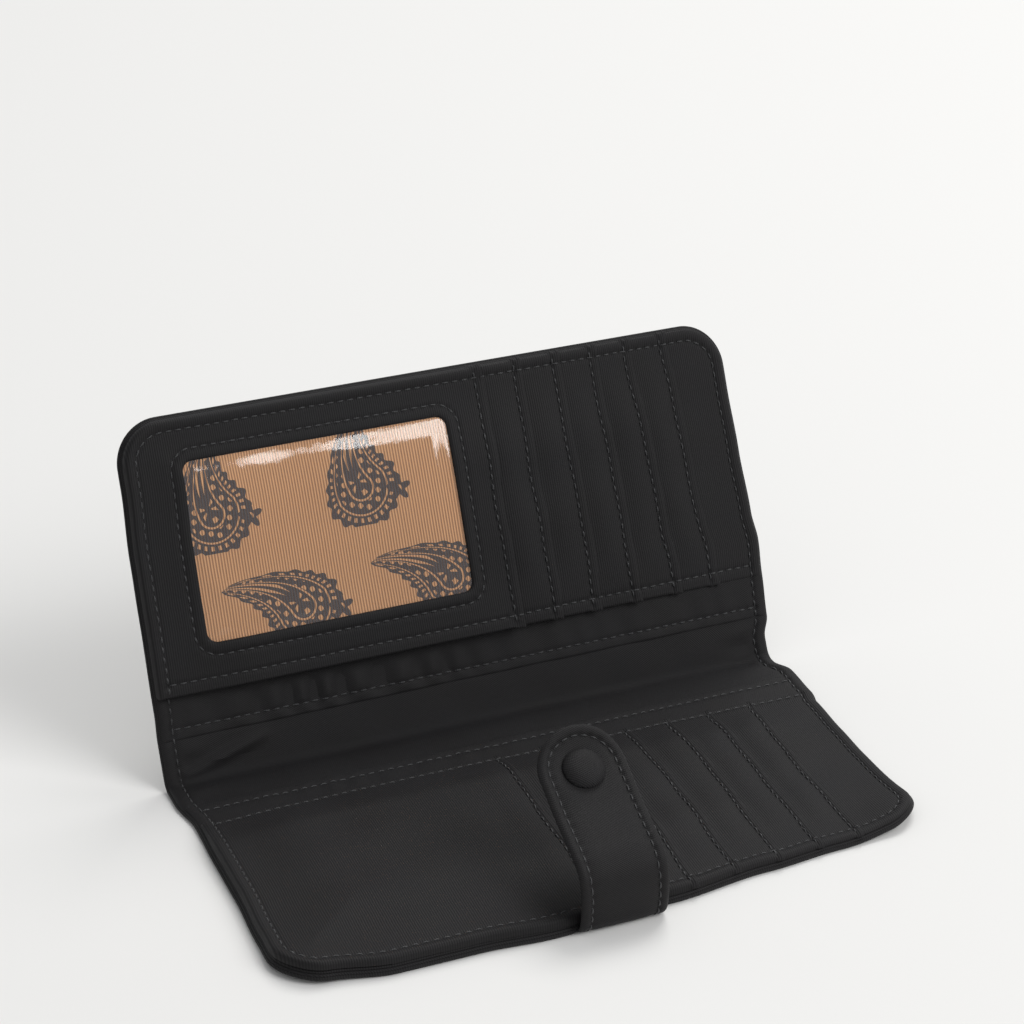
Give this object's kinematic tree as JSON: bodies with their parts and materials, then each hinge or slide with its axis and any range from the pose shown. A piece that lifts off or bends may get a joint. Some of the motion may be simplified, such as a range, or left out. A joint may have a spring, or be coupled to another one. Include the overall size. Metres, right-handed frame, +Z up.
{
  "type": "fabric wallet",
  "caption": "Long fold-over fabric wallet opened like an L, with staggered card pockets, a window pocket, banknote pockets and a snap tab.",
  "frame": {"origin": "On the surface that the wallet stands on, under the middle of the opened wallet's bounding box.", "axes": "+X along the folds, to the right of someone facing the opening; +Y from the lower half's free edge to the back; +Z up"},
  "size_m": [0.192, 0.1514, 0.0966],
  "materials": {
    "cover_cloth": "black ribbed nylon, matte satin",
    "pocket_cloth": "black fine-ribbed nylon, matte satin",
    "lining_cloth": "black ribbed nylon, matte satin",
    "printed_cloth": "tan ribbed cloth with a dark teardrop print, matte",
    "tab_cloth": "black twill, soft sheen",
    "button_cloth": "black cloth stretched over a dome",
    "window_film": "clear glossy flexible film",
    "snap_metal": "dark coated metal, satin"
  },
  "bodies": {
    "lower_panel": {"lower_cover": "cover_cloth", "lower_lining": "lining_cloth", "lower_banknote_pocket": "pocket_cloth", "lower_card_base": "pocket_cloth", "lower_card_pocket_1": "pocket_cloth", "lower_card_pocket_2": "pocket_cloth", "lower_card_pocket_3": "pocket_cloth", "lower_card_pocket_4": "pocket_cloth", "lower_card_pocket_5": "pocket_cloth", "lower_card_pocket_6": "pocket_cloth", "lower_wide_pocket": "pocket_cloth", "tab_root": "tab_cloth"},
    "spine_lower": {"spine_lower_cover": "cover_cloth", "spine_lower_lining": "lining_cloth"},
    "spine_upper": {"spine_upper_cover": "cover_cloth", "spine_upper_lining": "lining_cloth"},
    "upper_panel": {"upper_cover": "cover_cloth", "upper_lining": "lining_cloth", "upper_banknote_pocket": "pocket_cloth", "upper_card_base": "pocket_cloth", "upper_card_pocket_1": "pocket_cloth", "upper_card_pocket_2": "pocket_cloth", "upper_card_pocket_3": "pocket_cloth", "upper_card_pocket_4": "pocket_cloth", "upper_card_pocket_5": "pocket_cloth", "id_backing": "printed_cloth", "id_window": "window_film", "id_frame": "pocket_cloth", "snap_stud": "snap_metal"},
    "tab_edge": {"tab_band": "tab_cloth"},
    "tab_shoulder": {"tab_shoulder": "tab_cloth"},
    "tab_riser": {"tab_riser": "tab_cloth"},
    "tab_knee": {"tab_knee": "tab_cloth"},
    "tab_flap": {"tab_flap": "tab_cloth", "button_cap": "button_cloth", "snap_socket": "snap_metal"}
  },
  "joints": [
    {"name": "spine_lower_hinge", "type": "hinge", "parent": "lower_panel", "child": "spine_lower", "pos_m": [0, 0.0216, 0], "axis": [1, 0, 0], "range_deg": [0, 57]},
    {"name": "spine_crease", "type": "hinge", "parent": "spine_lower", "child": "spine_upper", "pos_m": [0, 0.0336, 0], "axis": [1, 0, 0], "range_deg": [-66, 0]},
    {"name": "spine_upper_hinge", "type": "hinge", "parent": "spine_upper", "child": "upper_panel", "pos_m": [0, 0.03848, 0.01096], "axis": [1, 0, 0], "range_deg": [0, 57]},
    {"name": "tab_swing", "type": "hinge", "parent": "lower_panel", "child": "tab_edge", "pos_m": [0, -0.0752, 0.0005], "axis": [-1, 0, 0], "range_deg": [-90, 0]},
    {"name": "tab_shoulder_press", "type": "hinge", "parent": "tab_edge", "child": "tab_shoulder", "pos_m": [0, -0.0747, 0.00805], "axis": [-1, 0, 0], "range_deg": [0, 70]},
    {"name": "tab_lift", "type": "hinge", "parent": "tab_shoulder", "child": "tab_riser", "pos_m": [0, -0.07489, 0.01046], "axis": [1, 0, 0], "range_deg": [0, 90]},
    {"name": "tab_knee_press", "type": "hinge", "parent": "tab_riser", "child": "tab_knee", "pos_m": [0, -0.0704, 0.01987], "axis": [1, 0, 0], "range_deg": [0, 42]},
    {"name": "tab_wrap", "type": "hinge", "parent": "tab_knee", "child": "tab_flap", "pos_m": [0, -0.06845, 0.0209], "axis": [1, 0, 0], "range_deg": [-90, 0]}
  ],
  "couplings": [
    {"joint": "spine_upper_hinge", "follows": "spine_lower_hinge", "ratio": 1},
    {"joint": "tab_shoulder_press", "follows": "spine_lower_hinge", "ratio": 1.2281},
    {"joint": "tab_knee_press", "follows": "spine_lower_hinge", "ratio": 0.73684},
    {"joint": "tab_wrap", "follows": "tab_lift", "ratio": -1}
  ]
}
